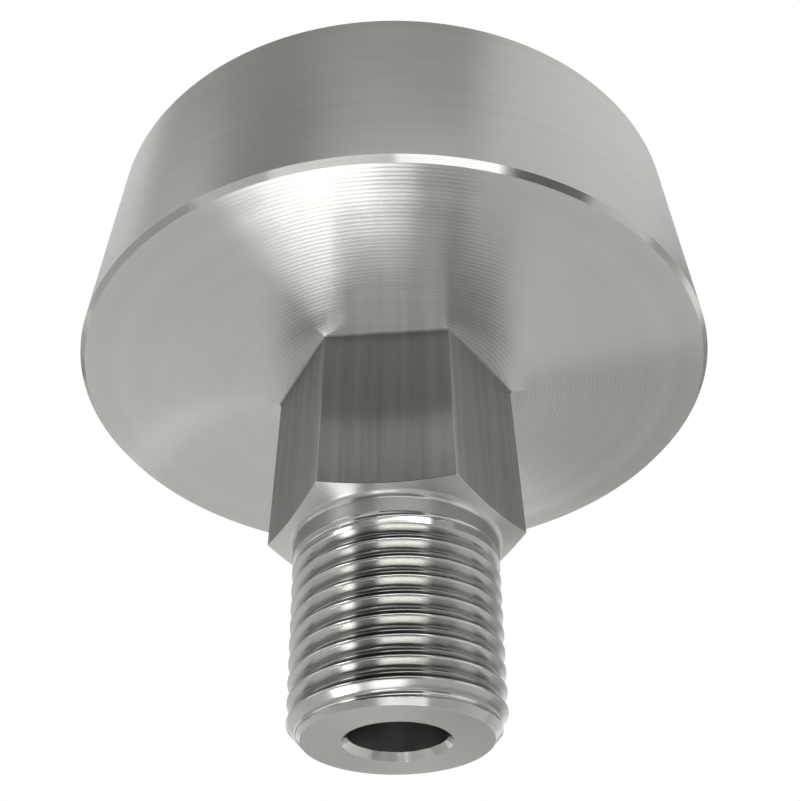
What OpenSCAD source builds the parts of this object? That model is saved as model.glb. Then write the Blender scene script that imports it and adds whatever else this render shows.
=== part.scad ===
// Gauge diaphragm seal with a threaded process stub, lengths in millimetres.
// It stands in its working position: the process thread points down, the gauge port is on top.
// The origin is the centre of the thread's end face, +Z runs up the axis.

/* [Drum] */
// outside diameter of the drum
drum_diameter = 74; // [70:1:90]
// height of the drum between its two flat faces
drum_height = 25; // [24:0.5:32]
// chamfer on both outer edges of the drum
drum_chamfer = 0.6; // [0.3:0.1:1.2]
// thickness of the drum wall around the upper body
wall_thickness = 4.5; // [3.5:0.5:6]
// thickness of the plate between the hexagon and the pressure chamber
plate_thickness = 5; // [4:0.5:6]

/* [Hexagon] */
// spanner size of the hexagon
hex_across_flats = 24; // [23:0.5:32]
// length of the hexagon with its end chamfer
hex_length = 19.45; // [15:0.05:30]
// angle between the hexagon's end chamfer and its end face
hex_chamfer_angle = 17; // [12:1:40]

/* [Process thread] */
// crest diameter of the taper pipe thread at its end face
thread_end_diameter = 20.5; // [20.3:0.05:20.8]
// length from the end face to the run-out of the thread
thread_length = 17.35; // [14:0.05:22]
// pitch of the thread, 14 turns to the inch
thread_pitch = 1.8143; // [1.6:0.0001:2.2]
// width of the flat on the thread's crests
thread_crest = 0.2; // [0.1:0.01:0.3]
// width of the flat at the bottom of the thread
thread_root = 0.23; // [0.15:0.01:0.35]
// height above the end face where a crest starts on the +X side
thread_offset = 0.26; // [0:0.01:1.5]
// length of the plain neck between thread and hexagon
neck_length = 2; // [1:0.1:4]
// radius of the hollow corner between neck and hexagon
neck_fillet = 0.75; // [0.3:0.05:1]
// step from the thread's crests up to the neck
neck_step = 0.05; // [0.02:0.01:0.1]
// chamfer on the thread's end
tip_chamfer = 1.3; // [0.5:0.1:1.6]
// bore that carries the process pressure to the chamber
bore_diameter = 9.5; // [6:0.5:12]
// width of the chamfer on the mouth of the bore
bore_chamfer = 0.4; // [0.2:0.05:1.2]
// depth of the chamfer on the mouth of the bore
bore_chamfer_depth = 0.7; // [0.3:0.05:1.4]

/* [Pressure chamber] */
// depth of the chamber below the ledge that carries the ring
chamber_depth = 1.6; // [1:0.1:2.5]
// width of the ledge around the chamber
ledge_width = 7; // [5:0.5:9]
// thickness of the ring below the diaphragm
ring_thickness = 1.2; // [0.8:0.1:2]
// thickness of the diaphragm foil
foil_thickness = 0.15; // [0.1:0.05:0.3]
// number of ring waves pressed into the diaphragm
wave_count = 4; // [3:1:6]
// height of the waves
wave_height = 0.5; // [0.2:0.1:0.8]
// depth of the hollow above the diaphragm
hollow_depth = 0.7; // [0.5:0.1:1.2]

/* [Gauge port] */
// tapping diameter of the taper pipe thread in the port
port_diameter = 18.2; // [18:0.1:18.6]
// diameter of the chamfered mouth of the port
port_mouth_diameter = 21.6; // [20.5:0.1:23]
// thickness of the web between port and hollow
web_thickness = 3; // [2:0.5:5]
// passage through the web
passage_diameter = 4; // [2:0.5:6]

/* [Fill port] */
// diameter of the socket screw that closes the fill port
fill_screw_diameter = 6; // [5:0.5:8]
// length of that screw
fill_screw_length = 5; // [4:0.5:5.5]
// depth of the screw below the top face
fill_screw_sink = 1.2; // [0.5:0.1:1.5]
// key size of its hexagon socket
fill_socket_size = 3; // [2:0.5:3.5]
// depth of its hexagon socket
fill_socket_depth = 2.5; // [1.5:0.1:3]
// edge chamfer of the screw and of its hole
fill_edge_chamfer = 0.4; // [0.2:0.1:0.5]
// diameter of the sealing ball below the screw
fill_ball_diameter = 4; // [3.5:0.25:4.5]
// fill passage from the ball seat to the hollow
fill_passage_diameter = 2; // [1:0.25:2.25]

/* [Joints] */
// depth and half width of the weld groove on the top face
weld_depth = 1.2; // [0.8:0.1:1.8]
// radial clearance of ring, diaphragm and upper body in the drum
seat_clearance = 0.1; // [0.05:0.05:0.2]
// radial clearance of the fill screw in its thread
screw_clearance = 0.05; // [0.02:0.01:0.1]

/* [Hidden] */
$fn = 128;
eps = 1;

// taper pipe thread: the radius grows by 1 in 32 along the axis
radial_taper = 1 / 32;
tip_radius = thread_end_diameter / 2;
neck_radius = tip_radius + thread_length * radial_taper + neck_step;
bore_radius = bore_diameter / 2;

// form of the thread along one pitch: crest flat, flank, root flat and the flank to the next crest
flank_angle = 30;
thread_depth = (thread_pitch - thread_crest - thread_root) / 2 / tan(flank_angle);
flank_width = thread_depth * tan(flank_angle);
form_place = [0, thread_crest, thread_crest + flank_width, thread_pitch - flank_width];
form_depth = [0, 0, thread_depth, thread_depth];
form_count = len(form_place);

// right-hand helix that starts below the end face and ends inside the hexagon
turn_steps = 40;
helix_base = thread_offset - 2 * thread_pitch;
helix_steps = turn_steps * ceil((thread_length - helix_base) / thread_pitch + 1);
helix_top = helix_base + thread_pitch * (helix_steps / turn_steps + 1);

// heights up the axis
neck_top = thread_length + neck_length;
drum_base = neck_top + hex_length;
drum_top = drum_base + drum_height;
chamber_floor = drum_base + plate_thickness;
ledge_top = chamber_floor + chamber_depth;
foil_base = ledge_top + ring_thickness;
upper_base = foil_base + foil_thickness;
hollow_top = upper_base + hollow_depth;
port_floor = hollow_top + web_thickness;

// radii of the drum and of what sits in it
drum_radius = drum_diameter / 2;
recess_radius = drum_radius - wall_thickness;
insert_radius = recess_radius - seat_clearance;
chamber_radius = recess_radius - ledge_width;
hollow_radius = chamber_radius - 0.5;

// hexagon and its chamfer cone
hex_corner_radius = hex_across_flats / 2 / cos(30);
cone_slope = tan(hex_chamfer_angle);
cone_radius = hex_corner_radius + eps;
cone_top = neck_top + (cone_radius - neck_radius) * cone_slope;

// hollow corner between neck and cone, as points from the neck out
fillet_steps = 6;
fillet_turn = 90 - hex_chamfer_angle;
fillet_base = neck_top - neck_fillet * tan(fillet_turn / 2);
fillet_arc = [for (i = [0:fillet_steps]) let (a = 180 - fillet_turn * i / fillet_steps)
  [neck_radius + neck_fillet * (1 + cos(a)), fillet_base + neck_fillet * sin(a)]];

// gauge port
port_radius = port_diameter / 2;
port_mouth_radius = port_mouth_diameter / 2;
port_mouth_base = drum_top - (port_mouth_radius - port_radius);
passage_radius = passage_diameter / 2;

// diaphragm waves
foil_flat_radius = chamber_radius - 1.5;
wave_pitch = foil_flat_radius / (wave_count + 0.5);

// fill port: the ball sits in a right-angled cone and the screw presses on it
fill_offset = (port_mouth_radius + chamber_radius) / 2;
fill_screw_radius = fill_screw_diameter / 2;
fill_hole_radius = fill_screw_radius + screw_clearance;
fill_passage_radius = fill_passage_diameter / 2;
fill_ball_radius = fill_ball_diameter / 2;
fill_screw_top = drum_top - fill_screw_sink;
fill_screw_base = fill_screw_top - fill_screw_length;
fill_ball_height = fill_screw_base - fill_ball_radius;
seat_apex = fill_ball_height - fill_ball_radius * sqrt(2);
seat_top = seat_apex + fill_hole_radius;
seat_bottom = seat_apex + fill_passage_radius;

// radius of the thread at a height: it widens with the taper, and the tool lifts out over the last turn
function tool_lift(z) = thread_depth * min(max((z - thread_length) / thread_pitch + 1, 0), 1);
function thread_radius(z, depth) =
  tip_radius + min(z, thread_length) * radial_taper - max(depth - tool_lift(z), 0);

// corner k of the thread's form at one step along the helix, and its place in the list of points
function helix_point(i, k) =
  let (a = 360 * i / turn_steps,
    z = helix_base + thread_pitch * i / turn_steps + form_place[k],
    r = thread_radius(z, form_depth[k]))
  [r * cos(a), r * sin(a), z];
function corner(i, k) = i * form_count + k;
function quad(a, b, c, d) = [[a, b, c], [a, c, d]];
function fan(hub, edge) = [for (i = [0:len(edge) - 1]) [hub, edge[i], edge[(i + 1) % len(edge)]]];

// thread: a skin along the helix, closed by a fan at each end and cut to the chamfer of the tip
module process_thread() {
  last = form_count - 1;
  low_hub = corner(helix_steps + 1, 0);
  low_edge = concat([for (i = [0:turn_steps]) corner(i, 0)], [for (k = [last:-1:1]) corner(0, k)]);
  high_edge = concat([for (k = [0:last]) corner(helix_steps, k)],
    [for (i = [helix_steps - 1:-1:helix_steps - turn_steps]) corner(i, last)]);
  intersection() {
    polyhedron(
      points = concat([for (i = [0:helix_steps], k = [0:last]) helix_point(i, k)],
        [[0, 0, helix_base], [0, 0, helix_top]]),
      faces = concat(
        [for (i = [0:helix_steps - 1], k = [0:last - 1])
          each quad(corner(i, k), corner(i, k + 1), corner(i + 1, k + 1), corner(i + 1, k))],
        [for (i = [0:helix_steps - turn_steps - 1])
          each quad(corner(i, last), corner(i + turn_steps, 0),
            corner(i + turn_steps + 1, 0), corner(i + 1, last))],
        fan(low_hub, low_edge), fan(low_hub + 1, high_edge)));
    rotate_extrude()
      polygon([[0, 0], [tip_radius - tip_chamfer, 0],
        [tip_radius + thread_length, tip_chamfer + thread_length],
        [tip_radius + thread_length, helix_top + eps], [0, helix_top + eps]]);
  }
}

// lower body: one turned piece, a cup with the hexagon and the thread stub below it
module lower_body() {
  color("silver")
  difference() {
    union() {
      rotate_extrude()
        polygon([[0, drum_base], [drum_radius - drum_chamfer, drum_base],
          [drum_radius, drum_base + drum_chamfer], [drum_radius, drum_top - drum_chamfer],
          [drum_radius - drum_chamfer, drum_top], [0, drum_top]]);
      intersection() {
        translate([0, 0, thread_length])
          cylinder(h = neck_length + hex_length + eps, r = hex_corner_radius, $fn = 6);
        rotate_extrude()
          polygon(concat([[0, thread_length], [neck_radius, thread_length]], fillet_arc,
            [[cone_radius, cone_top], [cone_radius, drum_base + eps], [0, drum_base + eps]]));
      }
      process_thread();
    }
    rotate_extrude()
      polygon([[0, -eps], [bore_radius + bore_chamfer * (1 + eps / bore_chamfer_depth), -eps], [bore_radius, bore_chamfer_depth],
        [bore_radius, chamber_floor], [chamber_radius, chamber_floor], [chamber_radius, ledge_top],
        [recess_radius, ledge_top], [recess_radius, drum_top - weld_depth],
        [recess_radius + weld_depth + eps, drum_top + eps], [0, drum_top + eps]]);
  }
}

// ring on the ledge that carries the rim of the diaphragm
module clamp_ring() {
  color("gainsboro")
  rotate_extrude()
    translate([chamber_radius, ledge_top])
      square([insert_radius - chamber_radius, ring_thickness]);
}

// line of the diaphragm from the middle out, at a given height above its rim
function foil_line(h) = [for (i = [0:wave_count - 1], k = [0:3])
  [wave_pitch * (i + [0.5, 0.7, 1, 1.2][k]), h - (k == 1 || k == 2 ? wave_height : 0)]];
function reversed(list) = [for (i = [len(list) - 1:-1:0]) list[i]];

// diaphragm: thin foil with pressed ring waves, its flat rim between ring and upper body
module diaphragm() {
  color("whitesmoke")
  rotate_extrude()
    polygon(concat([[0, foil_base]], foil_line(foil_base), [[insert_radius, foil_base]],
      [[insert_radius, upper_base]], reversed(foil_line(upper_base)), [[0, upper_base]]));
}

// upper body: turned disc with the gauge port, the passage and the fill port
module upper_body() {
  color("lightgray")
  difference() {
    rotate_extrude()
      polygon([[passage_radius, hollow_top], [hollow_radius, hollow_top], [hollow_radius, upper_base],
        [insert_radius, upper_base], [insert_radius, drum_top - weld_depth],
        [insert_radius - weld_depth, drum_top], [port_mouth_radius, drum_top],
        [port_radius, port_mouth_base], [port_radius, port_floor], [passage_radius, port_floor]]);
    translate([0, fill_offset, 0])
      rotate_extrude()
        polygon([[0, upper_base - eps], [fill_passage_radius, upper_base - eps],
          [fill_passage_radius, seat_bottom], [fill_hole_radius, seat_top],
          [fill_hole_radius, drum_top - fill_edge_chamfer],
          [fill_hole_radius + fill_edge_chamfer + eps, drum_top + eps], [0, drum_top + eps]]);
  }
}

// weld bead that closes the joint between drum wall and upper body
module closing_weld() {
  color("darkgray")
  rotate_extrude()
    polygon([[insert_radius, drum_top - weld_depth], [recess_radius, drum_top - weld_depth],
      [recess_radius + weld_depth, drum_top], [insert_radius - weld_depth, drum_top]]);
}

// ball that seals the fill passage
module fill_ball() {
  color("white")
  translate([0, fill_offset, fill_ball_height])
    sphere(r = fill_ball_radius);
}

// socket screw that presses the ball into its seat
module fill_screw() {
  color("dimgray")
  translate([0, fill_offset, 0])
  difference() {
    rotate_extrude()
      polygon([[0, fill_screw_base], [fill_screw_radius - fill_edge_chamfer, fill_screw_base],
        [fill_screw_radius, fill_screw_base + fill_edge_chamfer],
        [fill_screw_radius, fill_screw_top - fill_edge_chamfer],
        [fill_screw_radius - fill_edge_chamfer, fill_screw_top], [0, fill_screw_top]]);
    translate([0, 0, fill_screw_top - fill_socket_depth])
      cylinder(h = fill_socket_depth + eps, r = fill_socket_size / 2 / cos(30), $fn = 6);
  }
}

lower_body();
clamp_ring();
diaphragm();
upper_body();
closing_weld();
fill_ball();
fill_screw();
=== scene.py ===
import math

import bmesh
import bpy
import numpy as np
from mathutils import Matrix, Vector


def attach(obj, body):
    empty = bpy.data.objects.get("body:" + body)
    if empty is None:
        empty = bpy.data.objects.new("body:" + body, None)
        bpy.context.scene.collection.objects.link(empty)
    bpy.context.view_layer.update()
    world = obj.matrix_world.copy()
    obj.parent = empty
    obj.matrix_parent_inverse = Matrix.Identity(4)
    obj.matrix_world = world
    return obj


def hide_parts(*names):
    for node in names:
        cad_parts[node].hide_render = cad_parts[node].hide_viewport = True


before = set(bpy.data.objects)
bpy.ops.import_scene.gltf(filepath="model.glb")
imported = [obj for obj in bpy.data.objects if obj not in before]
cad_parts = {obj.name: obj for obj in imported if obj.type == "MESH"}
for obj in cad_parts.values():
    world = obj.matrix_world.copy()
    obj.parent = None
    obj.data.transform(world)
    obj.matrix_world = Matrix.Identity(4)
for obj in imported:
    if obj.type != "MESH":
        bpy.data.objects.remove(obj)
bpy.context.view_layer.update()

# Lower body: one piece of stainless bar, turned to a drum with a hexagon and a thread stub.
# The hexagon is milled, the taper thread is cut with a single point, and the drum is
# recessed from the top for the pieces inside. Lengths here are in millimetres.
DRUM_RADIUS = 37.0
DRUM_BASE = 38.8
DRUM_TOP = 63.8
DRUM_CHAMFER = 0.6
HEX_APOTHEM = 12.0
HEX_CORNER_ROUND = 0.15
HEX_CHAMFER_ANGLE = 17
NECK_TOP = 19.35
NECK_STEP = 0.05
NECK_FILLET = 0.75
THREAD_END = 17.35
THREAD_PITCH = 1.8143
THREAD_TAPER = 1 / 32
THREAD_CREST_WIDTH = 0.2
THREAD_CREST_ROUND = 0.07
THREAD_ROOT_ROUND = 0.46
THREAD_PHASE = 2.1743
THREAD_FADE = THREAD_PITCH
TIP_RADIUS = 10.25
TIP_CHAMFER = 1.3
TIP_ZONE = 1.44
BORE_RADIUS = 4.75
BORE_CHAMFER = 0.4
BORE_CHAMFER_DEPTH = 0.7
CHAMBER_FLOOR = 43.8
CHAMBER_RADIUS = 25.5
LEDGE_TOP = 45.4
RECESS_RADIUS = 32.5
WELD_DEPTH = 1.2
ROOT_FILLET = 0.25
ROOT_FILLET_MIDDLE = 0.28 * ROOT_FILLET
EDGE_BREAK = 0.04
HEX_EDGE_BREAK = 0.03
HEX_EDGE_RISE = 0.05
NECK_FILLET_STEPS = 10
FLANK_SHARES = (0.08, 0.92)
SMOOTH_DEGREES = 32
FACE_ROWS = (16.0, 20.0, 26.0, 32.0)
TIP_ROWS = 37
TIP_EDGE = 0.02
NECK_RADIUS = TIP_RADIUS + THREAD_END * THREAD_TAPER + NECK_STEP

# Columns every 1.25 degrees, with a few more at each rounded corner of the hexagon.
corner_reach = math.degrees(math.atan(
    HEX_CORNER_ROUND * 0.5 / ((HEX_APOTHEM - HEX_CORNER_ROUND) / math.cos(math.pi / 6)
                              + HEX_CORNER_ROUND * math.cos(math.pi / 6))))
COLUMNS = np.unique(np.round(np.concatenate(
    [np.arange(0, 360.1, 1.25)]
    + [60 * k + corner_reach * np.array([-1, -0.5, 0.5, 1]) for k in range(7)]), 6))
COLUMNS = COLUMNS[(COLUMNS >= 0) & (COLUMNS <= 360)]


def hex_radius(degrees):
    """Distance from the axis to the hexagon's side, with its corners rounded."""
    off = (degrees + 30) % 60 - 30
    side = HEX_APOTHEM / np.cos(np.radians(30 - np.abs(off)))
    centre = (HEX_APOTHEM - HEX_CORNER_ROUND) / math.cos(math.pi / 6)
    swing = np.radians(off)
    inside = np.maximum(HEX_CORNER_ROUND ** 2 - (centre * np.sin(swing)) ** 2, 0)
    arc = centre * np.cos(swing) + np.sqrt(inside)
    return np.where(np.abs(off) < corner_reach, arc, side)


def thread_form(pitch, crest, crest_round, root_round, crest_steps=2, root_steps=5):
    """Places along one pitch and depths below the crest, for a 60 degree thread.

    Two rows near the ends of each flank keep the flank between them flat in the shading.
    """
    half, slope = math.radians(30), math.tan(math.radians(30))
    apex = (pitch - crest) / 2 / slope
    points = [(0.0, 0.0)]
    edge = crest / 2 - crest_round * math.tan(half)
    for i in range(crest_steps + 1):
        turn = math.radians(60) * i / crest_steps
        points.append((edge + crest_round * math.sin(turn), crest_round * (1 - math.cos(turn))))
    middle, hub = pitch / 2, apex - 2 * root_round
    flank_top = np.array(points[-1])
    flank_end = np.array([middle - root_round * math.sin(math.radians(60)), hub + root_round / 2])
    points += [tuple(flank_top + share * (flank_end - flank_top)) for share in FLANK_SHARES]
    for i in range(root_steps + 1):
        turn = math.radians(60) * (1 - i / root_steps)
        points.append((middle - root_round * math.sin(turn), hub + root_round * math.cos(turn)))
    mirrored = [(pitch - s, d) for s, d in points[-2:0:-1]]
    return np.array(points + mirrored + [(pitch, 0.0)])


THREAD_FORM = thread_form(THREAD_PITCH, THREAD_CREST_WIDTH, THREAD_CREST_ROUND, THREAD_ROOT_ROUND)
THREAD_DEPTH = THREAD_FORM[:, 1].max()


def thread_radius(degrees, z):
    """Radius of the cut thread; the tool lifts out at its end and the tip is chamfered."""
    along = (z - THREAD_PHASE - THREAD_PITCH * degrees / 360) % THREAD_PITCH
    depth = np.interp(along, THREAD_FORM[:, 0], THREAD_FORM[:, 1])
    lift = THREAD_DEPTH * np.clip((z - THREAD_END + THREAD_FADE) / THREAD_FADE, 0, 1)
    cut = TIP_RADIUS + z * THREAD_TAPER - np.maximum(depth - lift, 0)
    chamfer = TIP_RADIUS - TIP_CHAMFER + z * (1 + THREAD_TAPER)
    return np.minimum(cut, chamfer)


def helix_rows(low, high, phase, form):
    """Heights, from low to high, of the rows that follow a thread, cut off flat at both ends."""
    first = math.floor((low - phase) / THREAD_PITCH) - 1
    last = math.ceil((high - phase) / THREAD_PITCH)
    for turn in range(first, last + 1):
        for along in form[:-1, 0]:
            yield np.clip(phase + THREAD_PITCH * (turn + COLUMNS / 360) + along, low, high)


def piece_from_rows(name, rows, columns=COLUMNS, centre=(0, 0), smooth_degrees=SMOOTH_DEGREES):
    """Closed skin through rows of (radius, height, finish of the band that follows)."""
    turn = np.radians(columns)
    count = len(columns)
    points, faces, bands = [], [], []
    for radius, height, _ in rows:
        r = np.broadcast_to(radius, turn.shape)
        z = np.broadcast_to(height, turn.shape)
        points.append(np.stack([centre[0] + r * np.cos(turn), centre[1] + r * np.sin(turn), z], -1))
    for i, (_, _, finish) in enumerate(rows):
        a, b = i * count, (i + 1) % len(rows) * count
        faces += [(a + j, a + j + 1, b + j + 1, b + j) for j in range(count - 1)]
        bands += [finish] * (count - 1)
    mesh = bpy.data.meshes.new(name)
    mesh.from_pydata(np.concatenate(points) * 0.001, [], faces)
    order = list(dict.fromkeys(row[2] for row in rows))
    for finish in order:
        mesh.materials.append(FINISHES[finish])
    mesh.polygons.foreach_set("material_index", [order.index(b) for b in bands])
    skin = bmesh.new()
    skin.from_mesh(mesh)
    bmesh.ops.remove_doubles(skin, verts=skin.verts, dist=2e-7)
    bmesh.ops.dissolve_degenerate(skin, dist=1e-8, edges=skin.edges)
    skin.to_mesh(mesh)
    skin.free()
    mesh.shade_smooth()
    mesh.set_sharp_from_angle(angle=math.radians(smooth_degrees))
    piece = bpy.data.objects.new(name, mesh)
    bpy.context.scene.collection.objects.link(piece)
    return piece


def arc_rows(centre_r, centre_z, radius, start, end, finish, steps):
    """Rows along an arc in the section, angles in degrees from the outward direction."""
    for i in range(steps + 1):
        turn = math.radians(start + (end - start) * i / steps)
        yield centre_r + radius * math.cos(turn), centre_z + radius * math.sin(turn), finish


class Wire:
    """One socket of a finish, so that sums of values read as sums."""

    def __init__(self, finish, socket):
        self.finish, self.socket = finish, socket

    def math(self, operation, first, second):
        return self.finish.node("ShaderNodeMath", {"operation": operation}, {0: first, 1: second})

    def __add__(self, other):
        return self.math("ADD", self, other)

    def __sub__(self, other):
        return self.math("SUBTRACT", self, other)

    def __rsub__(self, other):
        return self.math("SUBTRACT", other, self)

    def __mul__(self, other):
        return self.math("MULTIPLY", self, other)

    __radd__ = __add__
    __rmul__ = __mul__


class Finish:
    """Node tree of a metal finish or of the world."""

    def __init__(self, tree):
        self.tree = tree
        tree.nodes.clear()

    def node(self, kind, settings, sockets, out=0):
        """Adds a node: its settings first, then values or links for its sockets."""
        made = self.tree.nodes.new(kind)
        for key, value in settings.items():
            setattr(made, key, value)
        for key, value in sockets.items():
            if isinstance(value, Wire):
                self.tree.links.new(value.socket, made.inputs[key])
            else:
                made.inputs[key].default_value = value
        return Wire(self, made.outputs[out]) if made.outputs else None

    def noise(self, place, scale, detail, dimensions="3D"):
        """Noise between 0 and 1 at a place on the piece."""
        place_socket = {"1D": "W"}.get(dimensions, "Vector")
        return self.node("ShaderNodeTexNoise", {"noise_dimensions": dimensions},
                         {place_socket: place, "Scale": scale, "Detail": detail})

    def tint(self, mask, dark, light, blue=0.945):
        """Colour between two greys of stainless steel, which is a little green beside pure grey."""
        tones = [(0.985 * grey, grey, blue * grey, 1) for grey in (dark, light)]
        return self.mix(mask, *tones)

    def mix(self, mask, first, second):
        """Colour between two colours, the second where the mask is 1."""
        return self.node("ShaderNodeMix", {"data_type": "RGBA"}, {0: mask, 6: first, 7: second}, out=2)

    def waves(self, place, spacing):
        """Even tool marks between 0 and 1, one for each spacing along a place."""
        swing = self.node("ShaderNodeMath", {"operation": "SINE"}, {0: place * (2 * math.pi / spacing)})
        return swing * 0.5 + 0.5


def metal(name, build):
    """Material whose colour, roughness and relief come from build(finish, place, x, z, radius)."""
    material = bpy.data.materials.new(name)
    material.use_nodes = True
    finish = Finish(material.node_tree)
    place = finish.node("ShaderNodeTexCoord", {}, {}, out="Object")
    x = finish.node("ShaderNodeSeparateXYZ", {}, {0: place}, out="X")
    z = Wire(finish, x.socket.node.outputs["Z"])
    flat = finish.node("ShaderNodeVectorMath", {"operation": "MULTIPLY"}, {0: place, 1: (1, 1, 0)})
    radius = finish.node("ShaderNodeVectorMath", {"operation": "LENGTH"}, {0: flat}, out="Value")
    colour, roughness, relief, depth, constants = build(finish, place, x, z, radius)
    bump = finish.node("ShaderNodeBump", {}, {
        "Strength": 1.0, "Distance": depth, "Height": relief}, out="Normal")
    shader = finish.node("ShaderNodeBsdfPrincipled", {}, {
        "Base Color": colour, "Metallic": 1.0, "Roughness": roughness, "Normal": bump, **constants})
    finish.node("ShaderNodeOutputMaterial", {}, {"Surface": shader})
    return material


def across_rings(amount):
    """Constants that spread the gloss across turning marks, which run around the axis."""
    return {"Anisotropic": amount, "Anisotropic Rotation": 0.25}


def turned_side(finish, place, x, z, radius):
    """Fine rings around the drum, faint handling marks."""
    rings = finish.noise(z, 9000, 2, "1D")
    bands = finish.noise(z, 700, 2, "1D")
    marks = finish.noise(place, 55, 3)
    tone = marks * 0.6 + bands * 0.4
    colour = finish.tint(tone, 0.43, 0.57)
    return colour, 0.29 + marks * 0.08, rings, 0.000004, across_rings(0.55)


def faced(finish, place, x, z, radius):
    """Concentric tool marks of a facing cut."""
    feed = finish.waves(radius, 0.00052)
    rings = finish.noise(radius, 6000, 3, "1D")
    broad = finish.noise(radius, 420, 2, "1D")
    marks = finish.noise(place, 60, 3)
    tone = broad * 0.4 + marks * 0.45 + feed * 0.15
    colour = finish.tint(tone, 0.58, 0.73)
    relief = rings * 0.5 + feed * 0.5
    return colour, 0.18 + broad * 0.04 + feed * 0.02, relief, 0.000009, across_rings(1.0)


def end_faced(finish, place, x, z, radius):
    """End face of the stub, smooth from the parting tool."""
    rings = finish.noise(radius, 5000, 2, "1D")
    marks = finish.noise(place, 150, 3)
    colour = finish.tint(marks, 0.40, 0.47)
    return colour, 0.38 + marks * 0.08, rings, 0.000003, across_rings(0.4)


def bright_edge(finish, place, x, z, radius):
    """Chamfer left bright by a fresh tool."""
    rings = finish.noise(z, 16000, 2, "1D")
    marks = finish.noise(place, 90, 2)
    colour = finish.tint(marks, 0.62, 0.72)
    return colour, 0.10 + marks * 0.08, rings, 0.000002, across_rings(0.4)


def turned_cone(finish, place, x, z, radius):
    """Chamfer at the end of the hexagon, with the rings of a facing tool."""
    rings = finish.noise(radius, 9000, 2, "1D")
    marks = finish.noise(place, 120, 2)
    colour = finish.tint(marks, 0.57, 0.67)
    return colour, 0.25 + marks * 0.06, rings, 0.000004, across_rings(0.8)


def turned_neck(finish, place, x, z, radius):
    """Relief groove behind the thread, left duller by the shoulder of the tool."""
    rings = finish.noise(z, 12000, 2, "1D")
    marks = finish.noise(place, 130, 3)
    colour = finish.tint(marks, 0.34, 0.43)
    return colour, 0.40 + marks * 0.08, rings, 0.000003, across_rings(0.3)


def milled(finish, place, x, z, radius):
    """Flats of the hexagon with marks along the axis, and painted shade that darkens the side flats."""
    stretched = finish.node("ShaderNodeVectorMath", {"operation": "MULTIPLY"}, {0: place, 1: (1, 1, 0.03)})
    lines = finish.noise(stretched, 4200, 2)
    broad = finish.noise(stretched, 900, 2)
    # Painted shade: the side flats, more than about 7 to 8.5 mm off the middle in x, are coloured darker.
    side_flats_painted_shade = finish.node("ShaderNodeMapRange", {}, {
        "Value": finish.node("ShaderNodeMath", {"operation": "ABSOLUTE"}, {0: x}),
        "From Min": 0.0070, "From Max": 0.0085, "To Min": 0.0, "To Max": 0.45})
    colour = finish.tint(broad - side_flats_painted_shade, 0.31, 0.54)
    return colour, 0.35 + lines * 0.15, lines, 0.000006, {"Anisotropic": 0.3}


def tapped(finish, place, x, z, radius):
    """Thread flanks, bright with fine feed lines."""
    lines = finish.noise(z, 14000, 2, "1D")
    marks = finish.noise(place, 220, 3)
    colour = finish.tint(marks, 0.54, 0.66)
    return colour, 0.13 + marks * 0.10, lines, 0.0000006, {}


# Painted shade: the dark colour given deep in the grooves of the stub's thread.
GROOVE_SHADE_COLOUR = (0.078, 0.082, 0.074, 1)


def cut_thread(finish, place, x, z, radius):
    """The same flanks on the stub, with painted shade: a dark colour deep in the grooves."""
    bright, roughness, lines, height, constants = tapped(finish, place, x, z, radius)
    # Painted shade: the colour grows darker with depth in the grooves, but not at the tip.
    sunk = TIP_RADIUS * 0.001 - radius + z * THREAD_TAPER
    groove = finish.node("ShaderNodeMapRange", {"interpolation_type": "SMOOTHSTEP"}, {
        "Value": sunk, "From Min": 0.0003, "From Max": 0.0009, "To Min": 0.0, "To Max": 0.66})
    above_tip = finish.node("ShaderNodeMapRange", {}, {"Value": z, "From Min": 0.0011, "From Max": 0.0016})
    groove_shade_mask = groove * above_tip
    return finish.mix(groove_shade_mask, bright, GROOVE_SHADE_COLOUR), roughness, lines, height, constants


def bored(finish, place, x, z, radius):
    """Drilled walls with painted shade: a very dark colour for the shade deep inside, where light hardly
    reaches.
    """
    lines = finish.noise(z, 5000, 2, "1D")
    marks = finish.noise(place, 160, 3)
    colour = finish.tint(marks, 0.07, 0.12)
    return colour, 0.35 + marks * 0.15, lines, 0.000008, {}


FINISHES = {
    "side": metal("turned_side", turned_side),
    "face": metal("faced", faced),
    "end": metal("end_faced", end_faced),
    "edge": metal("bright_edge", bright_edge),
    "neck": metal("turned_neck", turned_neck),
    "cone": metal("turned_cone", turned_cone),
    "flats": metal("milled_flats_painted_shade", milled),
    "thread": metal("cut_thread", cut_thread),
    "bore": metal("bored", bored),
}

hexagon = hex_radius(COLUMNS)
cone_slope = math.tan(math.radians(HEX_CHAMFER_ANGLE))
cone_edge = NECK_TOP + (hexagon - NECK_RADIUS) * cone_slope
body_rows = [(thread_radius(COLUMNS, z), z, "edge" if z < TIP_EDGE else "thread")
             for z in np.linspace(0, TIP_ZONE, TIP_ROWS)]
body_rows += [(thread_radius(COLUMNS, z), z, "thread")
              for z in helix_rows(TIP_ZONE, THREAD_END, THREAD_PHASE, THREAD_FORM)]
fillet_base = NECK_TOP - NECK_FILLET * math.tan(math.radians(45 - HEX_CHAMFER_ANGLE / 2))
body_rows += [(NECK_RADIUS - EDGE_BREAK, THREAD_END, "neck"), (NECK_RADIUS, THREAD_END + EDGE_BREAK, "neck")]
body_rows += arc_rows(NECK_RADIUS + NECK_FILLET, fillet_base, NECK_FILLET, 180, 90 + HEX_CHAMFER_ANGLE,
                      "cone", NECK_FILLET_STEPS)
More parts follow.
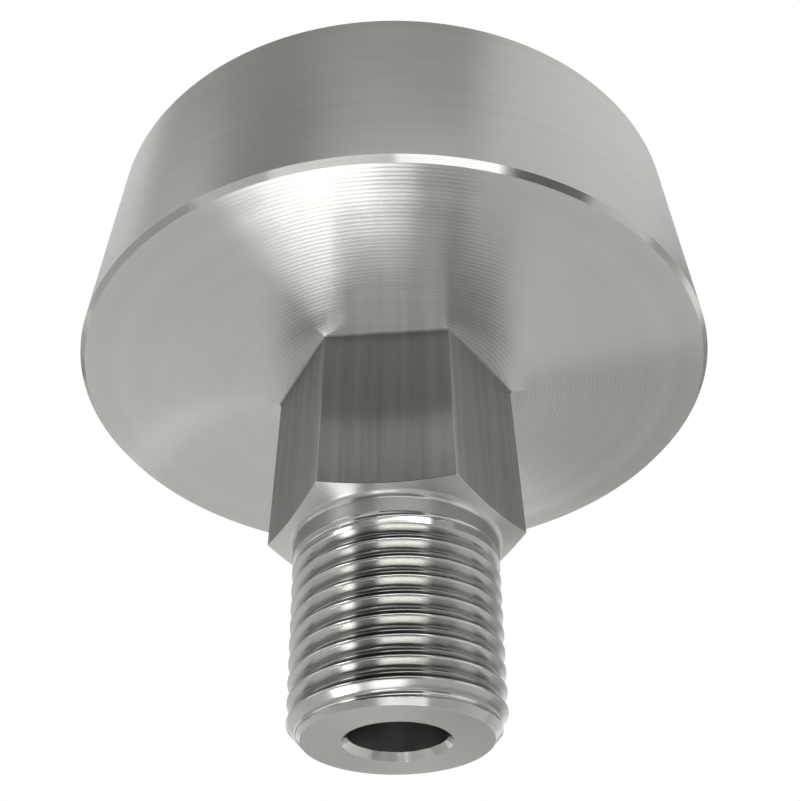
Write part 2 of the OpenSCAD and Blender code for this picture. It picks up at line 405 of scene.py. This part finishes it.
body_rows += [(hexagon - HEX_EDGE_BREAK, cone_edge - HEX_EDGE_BREAK * cone_slope, "edge"),
              (hexagon, cone_edge + HEX_EDGE_RISE, "flats"),
              (hexagon, DRUM_BASE - ROOT_FILLET, "flats"),
              (hexagon + ROOT_FILLET_MIDDLE, DRUM_BASE - ROOT_FILLET_MIDDLE, "flats"),
              (hexagon + ROOT_FILLET, DRUM_BASE, "face")]
body_rows += [(r, DRUM_BASE, "face") for r in FACE_ROWS]
body_rows += [(DRUM_RADIUS - DRUM_CHAMFER, DRUM_BASE, "edge"),
              (DRUM_RADIUS, DRUM_BASE + DRUM_CHAMFER, "side"),
              (DRUM_RADIUS, DRUM_TOP - DRUM_CHAMFER, "edge"),
              (DRUM_RADIUS - DRUM_CHAMFER, DRUM_TOP, "face"),
              (RECESS_RADIUS + WELD_DEPTH, DRUM_TOP, "bore"), (RECESS_RADIUS, DRUM_TOP - WELD_DEPTH, "bore"),
              (RECESS_RADIUS, LEDGE_TOP, "bore"), (CHAMBER_RADIUS, LEDGE_TOP, "bore"),
              (CHAMBER_RADIUS, CHAMBER_FLOOR, "bore"), (BORE_RADIUS, CHAMBER_FLOOR, "bore"),
              (BORE_RADIUS, BORE_CHAMFER_DEPTH, "edge"),
              (BORE_RADIUS + 0.05 * BORE_CHAMFER, 0.95 * BORE_CHAMFER_DEPTH, "edge"),
              (BORE_RADIUS + BORE_CHAMFER, 0, "end")]
lower_body = piece_from_rows("lower_body_turned", body_rows)
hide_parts("lower_body")
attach(lower_body, "root")


# Clamp ring: a flat turned ring of the same steel on the ledge inside the drum.
# It carries the rim of the diaphragm and is closed in when the part is welded.
def dress(node, finish):
    """Gives a CAD node, whose shape stays, its finish."""
    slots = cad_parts[node].data.materials
    slots.clear()
    slots.append(finish)


dress("clamp_ring", FINISHES["face"])


# Diaphragm: thin stainless foil with pressed ring waves, bright from the rolling mill.
# Its rim lies between the clamp ring and the upper body and is welded in with them.
def rolled(finish, place, x, z, radius):
    """Foil with the fine straight lines of rolling."""
    stretched = finish.node("ShaderNodeVectorMath", {"operation": "MULTIPLY"}, {0: place, 1: (1, 0.02, 1)})
    lines = finish.noise(stretched, 6000, 2)
    marks = finish.noise(place, 120, 2)
    colour = finish.tint(marks, 0.60, 0.70)
    return colour, 0.16 + lines * 0.08, lines, 0.000002, {}


dress("diaphragm", metal("rolled_foil", rolled))

# Upper body: turned stainless disc, pushed into the drum and welded in around its edge.
# It has the tapered female thread for the gauge in its middle and the fill hole beside it.
INSERT_RADIUS = 32.4
UPPER_BASE = 46.75
HOLLOW_RADIUS = 25.0
HOLLOW_TOP = 47.45
PORT_FLOOR = 50.45
PORT_RADIUS = 9.1
PORT_MOUTH_BASE = 62.1
PORT_THREAD_BASE = 52.2
PORT_ZONE = 61.9
PASSAGE_RADIUS = 2.0
FILL_OFFSET = 18.15
FILL_HOLE_RADIUS = 3.05
FILL_EDGE_CHAMFER = 0.4
FILL_PASSAGE_RADIUS = 1.0
FILL_BALL_CENTRE = 55.6
FILL_BALL_RADIUS = 2.0
FILL_SEAT_APEX = FILL_BALL_CENTRE - FILL_BALL_RADIUS * math.sqrt(2)
FILL_COLUMNS = np.linspace(0, 360, 73)
PORT_CREST_WIDTH = 0.24
PORT_CREST_ROUND = 0.03
PORT_ROOT_ROUND = 0.2
PORT_MOUTH_ROWS = 40
TOP_ROWS = (28.0, 22.0, 14.0)
PORT_FORM = thread_form(THREAD_PITCH, PORT_CREST_WIDTH, PORT_CREST_ROUND, PORT_ROOT_ROUND)


def port_radius(degrees, z):
    """Radius of the tapped port: the groove grows shallower downwards and fades at its end."""
    along = (z - PORT_MOUTH_BASE - THREAD_PITCH * degrees / 360) % THREAD_PITCH
    depth = np.interp(along, PORT_FORM[:, 0], PORT_FORM[:, 1])
    lift = (PORT_MOUTH_BASE - z) * THREAD_TAPER + np.clip(1 - (z - PORT_THREAD_BASE) / THREAD_PITCH, 0, 1.4)
    return np.maximum(PORT_RADIUS + np.maximum(depth - lift, 0), PORT_RADIUS + z - PORT_MOUTH_BASE)


FINISHES["tapped"] = metal("tapped_thread", tapped)
upper_rows = [(INSERT_RADIUS, UPPER_BASE, "bore"), (INSERT_RADIUS, DRUM_TOP - WELD_DEPTH, "bore"),
              (INSERT_RADIUS - WELD_DEPTH, DRUM_TOP, "face")]
upper_rows += [(r, DRUM_TOP, "face") for r in TOP_ROWS]
upper_rows += [(port_radius(COLUMNS, z), z, "tapped")
               for z in np.linspace(DRUM_TOP, PORT_ZONE, PORT_MOUTH_ROWS)]
upper_rows += [(port_radius(COLUMNS, z), z, "tapped")
               for z in list(helix_rows(PORT_THREAD_BASE, PORT_ZONE, PORT_MOUTH_BASE, PORT_FORM))[::-1]]
upper_rows += [(PORT_RADIUS, PORT_FLOOR, "bore"), (PASSAGE_RADIUS, PORT_FLOOR, "bore"),
               (PASSAGE_RADIUS, HOLLOW_TOP, "bore"), (HOLLOW_RADIUS, HOLLOW_TOP, "bore"),
               (HOLLOW_RADIUS, UPPER_BASE, "bore")]
upper_body = piece_from_rows("upper_body_turned", upper_rows)

seat_bottom = FILL_SEAT_APEX + FILL_PASSAGE_RADIUS
seat_top = FILL_SEAT_APEX + FILL_HOLE_RADIUS
hole_over = 1.0
hole_rows = [(0, UPPER_BASE - hole_over, "bore"), (FILL_PASSAGE_RADIUS, UPPER_BASE - hole_over, "bore"),
             (FILL_PASSAGE_RADIUS, seat_bottom, "bore"), (FILL_HOLE_RADIUS, seat_top, "bore"),
             (FILL_HOLE_RADIUS, DRUM_TOP - FILL_EDGE_CHAMFER, "edge"),
             (FILL_HOLE_RADIUS + FILL_EDGE_CHAMFER + hole_over, DRUM_TOP + hole_over, "edge"),
             (0, DRUM_TOP + hole_over, "edge")]
fill_hole = piece_from_rows("fill_hole", hole_rows, FILL_COLUMNS, (0, FILL_OFFSET))
cut = upper_body.modifiers.new("fill_hole", "BOOLEAN")
cut.object = fill_hole
cut.solver = "EXACT"
cut.material_mode = "TRANSFER"
drilled = bpy.data.meshes.new_from_object(upper_body.evaluated_get(bpy.context.evaluated_depsgraph_get()))
upper_body.modifiers.clear()
upper_body.data = drilled
drilled.set_sharp_from_angle(angle=math.radians(SMOOTH_DEGREES))
bpy.data.objects.remove(fill_hole)
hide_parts("upper_body")
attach(upper_body, "root")


# Closing weld: one bead all round the top, in a V groove between drum wall and upper body.
# It is welded without filler in small overlapping pools and brushed clean afterwards.
WELD_RIPPLES = 140
WELD_SINK = 0.04
WELD_CROWN = 0.28
WELD_RIPPLE_DEPTH = 0.13
WELD_RIPPLE_BOW = 0.45
WELD_FILL = 0.97
WELD_ROWS = 13
weld_columns = np.linspace(0, 360, WELD_RIPPLES * 8 + 1)


def bead_height(across):
    """Height of the bead's top between its two edges, from -1 to 1 across the groove."""
    pool = (weld_columns / 360 * WELD_RIPPLES + WELD_RIPPLE_BOW * across ** 2) % 1
    ripple = WELD_RIPPLE_DEPTH * (2 * pool - 1) ** 2 * (1 - across ** 4)
    return DRUM_TOP - WELD_SINK - WELD_CROWN * across ** 2 * 0.5 - ripple


def welded(finish, place, x, z, radius):
    """Brushed weld metal with a trace of straw tint beside the bead."""
    marks = finish.noise(place, 260, 3)
    scratches = finish.noise(radius, 9000, 2, "1D")
    colour = finish.tint(marks, 0.45, 0.61, blue=0.92)
    return colour, 0.28 + marks * 0.14, scratches, 0.000004, across_rings(0.3)


FINISHES["weld"] = metal("welded", welded)
weld_outer, weld_inner = RECESS_RADIUS + WELD_DEPTH, INSERT_RADIUS - WELD_DEPTH
weld_middle, weld_half = (weld_outer + weld_inner) / 2, (weld_outer - weld_inner) / 2
weld_rows = [(INSERT_RADIUS, DRUM_TOP - WELD_DEPTH, "weld"), (RECESS_RADIUS, DRUM_TOP - WELD_DEPTH, "weld")]
weld_rows += [(weld_middle + weld_half * across * WELD_FILL, bead_height(across), "weld")
              for across in np.linspace(1, -1, WELD_ROWS)]
closing_weld = piece_from_rows("closing_weld_bead", weld_rows, weld_columns, smooth_degrees=60)
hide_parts("closing_weld")
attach(closing_weld, "root")


# Fill ball and fill screw: a hard steel ball, pressed into its seat by a socket screw.
# They close the fill passage for good after the space above the diaphragm has been filled.
def ground(finish, place, x, z, radius):
    """Ball and screw, ground and lightly stained."""
    marks = finish.noise(place, 700, 3)
    colour = finish.tint(marks, 0.38, 0.52)
    return colour, 0.22 + marks * 0.16, marks, 0.000006, {}


ground_steel = metal("ground_steel", ground)
dress("fill_ball", ground_steel)
dress("fill_screw", ground_steel)

# Floor and light: a pale paper floor well below the part, white surroundings, and grey cards
# and small soft lamps that the camera does not see. The metal shows the cards as its dark
# parts and the lamps as its bright ones. Lengths from here on are in metres.
FLOOR_HEIGHT = -0.36
FLOOR_REACH = 3
FLOOR_SHADE = 0.8
CEILING_HEIGHT = 0.35
CEILING_SHADE = 0.71
FRONT_SHADE = 0.14
THREAD_SHADE = 0.4
PAPER_GRAIN = 0.02


def paper(name, shade):
    """Matt studio paper with a faint grain."""
    material = bpy.data.materials.new(name)
    material.use_nodes = True
    finish = Finish(material.node_tree)
    grain = finish.noise(finish.node("ShaderNodeTexCoord", {}, {}, out="Object"), 60, 3)
    darker, lighter = shade * (1 - PAPER_GRAIN), shade * (1 + PAPER_GRAIN)
    colour = finish.mix(grain, (darker, darker, darker, 1), (lighter, lighter, lighter, 1))
    shader = finish.node("ShaderNodeBsdfPrincipled", {}, {"Base Color": colour, "Roughness": 0.9})
    finish.node("ShaderNodeOutputMaterial", {}, {"Surface": shader})
    return material


def sheet(name, corners, shade, seen=False):
    """Flat sheet of paper; the camera sees only the floor."""
    mesh = bpy.data.meshes.new(name)
    mesh.from_pydata(corners, [], [(0, 1, 2, 3)])
    mesh.materials.append(paper(name + "_paper", shade))
    made = bpy.data.objects.new(name, mesh)
    bpy.context.scene.collection.objects.link(made)
    made.visible_camera = seen


def lying(left, right, front, back, height):
    """Corners of a level sheet."""
    return [(left, front, height), (right, front, height), (right, back, height), (left, back, height)]


def standing(left, right, low, high):
    """Corners of an upright sheet over the line between two places on the floor plan."""
    return [(*left, low), (*right, low), (*right, high), (*left, high)]


floor_corners = lying(-FLOOR_REACH, FLOOR_REACH, -FLOOR_REACH, FLOOR_REACH, FLOOR_HEIGHT)
sheet("floor", floor_corners, FLOOR_SHADE, seen=True)

# Over the part, for the drum's side; in front, for the hexagon and the roots of the thread.
sheet("ceiling_card", lying(-0.45, 0.15, -1.3, 0.05, CEILING_HEIGHT), CEILING_SHADE)
sheet("ceiling_card_right", lying(0.15, 0.9, -1.3, -0.26, CEILING_HEIGHT), CEILING_SHADE)
sheet("front_card_left", standing((-0.4, -0.45), (-0.06, -0.45), -0.24, 0.175), FRONT_SHADE)
sheet("front_card", standing((-0.06, -0.45), (0.05, -0.45), -0.2, 0.175), FRONT_SHADE)
sheet("front_card_right", standing((0.05, -0.45), (0.3, -0.45), -0.33, 0.175), FRONT_SHADE)

# Around the part, for the drum's chamfer, the hexagon's side flats and the face.
sheet("right_card", standing((0.31, -0.33), (0.44, -0.18), -0.33, -0.08), 0.25)
sheet("left_card", standing((-0.45, -0.25), (-0.45, 0.3), -0.25, 0.03), 0.75)
sheet("right_card_back", standing((0.45, 0.0), (0.45, 0.35), -0.1, -0.02), 0.65)
sheet("back_left_card", standing((-0.75, 0.15), (-0.15, 0.75), 0.05, 0.53), 0.68)
sheet("back_right_card", standing((0.15, 0.75), (0.75, 0.15), 0.05, 0.6), 0.48)
sheet("floor_card", lying(0.05, 0.6, 0.5, 1.2, FLOOR_HEIGHT + 0.005), 0.47)

# Close to the drum, for the flanks of the thread.
sheet("thread_card", standing((-0.25, -0.125), (0.25, -0.125), 0.05, 0.098), THREAD_SHADE)
sheet("thread_card_left", standing((-0.11, -0.05), (-0.11, 0.06), 0.055, 0.092), THREAD_SHADE)
sheet("thread_card_right", standing((0.11, -0.05), (0.11, 0.11), 0.055, 0.092), THREAD_SHADE)


def lamp(name, place, aim, width, height, power):
    """Soft rectangular lamp that the camera does not see."""
    data = bpy.data.lights.new(name, "AREA")
    data.shape = "RECTANGLE"
    data.size, data.size_y, data.energy = width, height, power
    made = bpy.data.objects.new(name, data)
    made.location = place
    made.rotation_mode = "QUATERNION"
    made.rotation_quaternion = (Vector(aim) - Vector(place)).to_track_quat("-Z", "Y")
    made.visible_camera = False
    bpy.context.scene.collection.objects.link(made)


# Behind and below, for the bright wedge on the face and the pale line to its left.
lamp("lamp_behind", (-0.0505, 0.135, -0.243), (0, 0, 0.035), 0.05, 0.08, 0.054)
lamp("lamp_behind_middle", (-0.0125, 0.086, -0.26), (0, 0, 0.035), 0.04, 0.06, 0.034)
lamp("lamp_behind_between", (-0.034, 0.085, -0.26), (0, 0, 0.035), 0.03, 0.05, 0.014)
lamp("lamp_face_left", (-0.1239, 0.2639, -0.15), (-0.028, 0.004, 0.0388), 0.010, 0.010, 0.0008)

# In front, for the white part of the drum's chamfer.
lamp("lamp_front", (0.10, -0.245, -0.14), (0, 0, 0.03), 0.16, 0.03, 0.03)
lamp("lamp_front_left", (-0.07, -0.26, -0.14), (0, 0, 0.03), 0.20, 0.03, 0.013)

# Below, for the tip, the edge of the bore and the cone under the hexagon.
lamp("lamp_below", (-0.01, 0.028, -0.27), (0, 0, 0.008), 0.08, 0.06, 0.02)
lamp("lamp_below_left", (-0.116, 0.062, -0.27), (0, 0, 0.008), 0.045, 0.05, 0.065)
lamp("lamp_below_front", (0.025, -0.09, -0.27), (0, 0, 0.008), 0.19, 0.03, 0.024)
lamp("lamp_cone_left", (-0.07, -0.2, -0.26), (0, 0, 0.02), 0.05, 0.05, 0.05)
lamp("lamp_cone", (-0.005, -0.2, -0.26), (0, 0, 0.02), 0.05, 0.05, 0.03)

# Just before the thread card, for the white patches on the flanks.
lamp("lamp_thread", (0.033, -0.12, 0.0855), (0.033, 0, 0.0855), 0.134, 0.018, 0.036)
lamp("lamp_thread_side", (-0.12, -0.09, 0.0855), (0, 0, 0.0855), 0.04, 0.018, 0.018)

# The surroundings are pure white where they are seen or mirrored, and a little dimmer as light.
world = bpy.data.worlds.new("studio")
bpy.context.scene.world = world
world.use_nodes = True
sky = Finish(world.node_tree)
camera_ray = sky.node("ShaderNodeLightPath", {}, {}, out="Is Camera Ray")
rays = camera_ray.socket.node.outputs
seen = camera_ray
for kind in ("Is Glossy Ray", "Is Transmission Ray"):
    seen = seen.math("MAXIMUM", seen, Wire(sky, rays[kind]))
ambient = sky.node("ShaderNodeBackground", {}, {"Color": (1, 1, 1, 1), "Strength": 0.9})
backdrop = sky.node("ShaderNodeBackground", {}, {"Color": (1, 1, 1, 1), "Strength": 1.0})
mixed = sky.node("ShaderNodeMixShader", {}, {0: seen, 1: ambient, 2: backdrop})
sky.node("ShaderNodeOutputWorld", {}, {"Surface": mixed})

# Camera: low in front of the part and looking up at it, as the photograph was taken.
# Its place and focal length were fitted to the drum, hexagon, thread and bore, and the shift
# stands for the photograph's crop off centre.
IMAGE_WIDTH = 800
SENSOR_WIDTH = 36.0
CAMERA_PLACE = Vector((0.007058, -0.092267, -0.030626))
CAMERA_AIM = Vector((0.000853, 0.000065, 0.064342))
CAMERA_ROLL = -0.014408
FOCAL_PIXELS = 947.613
SHIFT_PIXELS = -150.0
forward = (CAMERA_AIM - CAMERA_PLACE).normalized()
level = forward.cross(Vector((0, 0, 1))).normalized()
upright = level.cross(forward)
right = math.cos(CAMERA_ROLL) * level + math.sin(CAMERA_ROLL) * upright
up = -math.sin(CAMERA_ROLL) * level + math.cos(CAMERA_ROLL) * upright
camera_data = bpy.data.cameras.new("camera")
camera_data.sensor_fit = "HORIZONTAL"
camera_data.sensor_width = SENSOR_WIDTH
camera_data.lens = FOCAL_PIXELS * SENSOR_WIDTH / IMAGE_WIDTH
camera_data.shift_y = SHIFT_PIXELS / IMAGE_WIDTH
camera_data.clip_start = 0.002
camera = bpy.data.objects.new("camera", camera_data)
camera.matrix_world = Matrix.Translation(CAMERA_PLACE) @ Matrix((right, up, -forward)).transposed().to_4x4()
bpy.context.scene.collection.objects.link(camera)
bpy.context.scene.camera = camera
bpy.context.scene.view_settings.view_transform = "Standard"
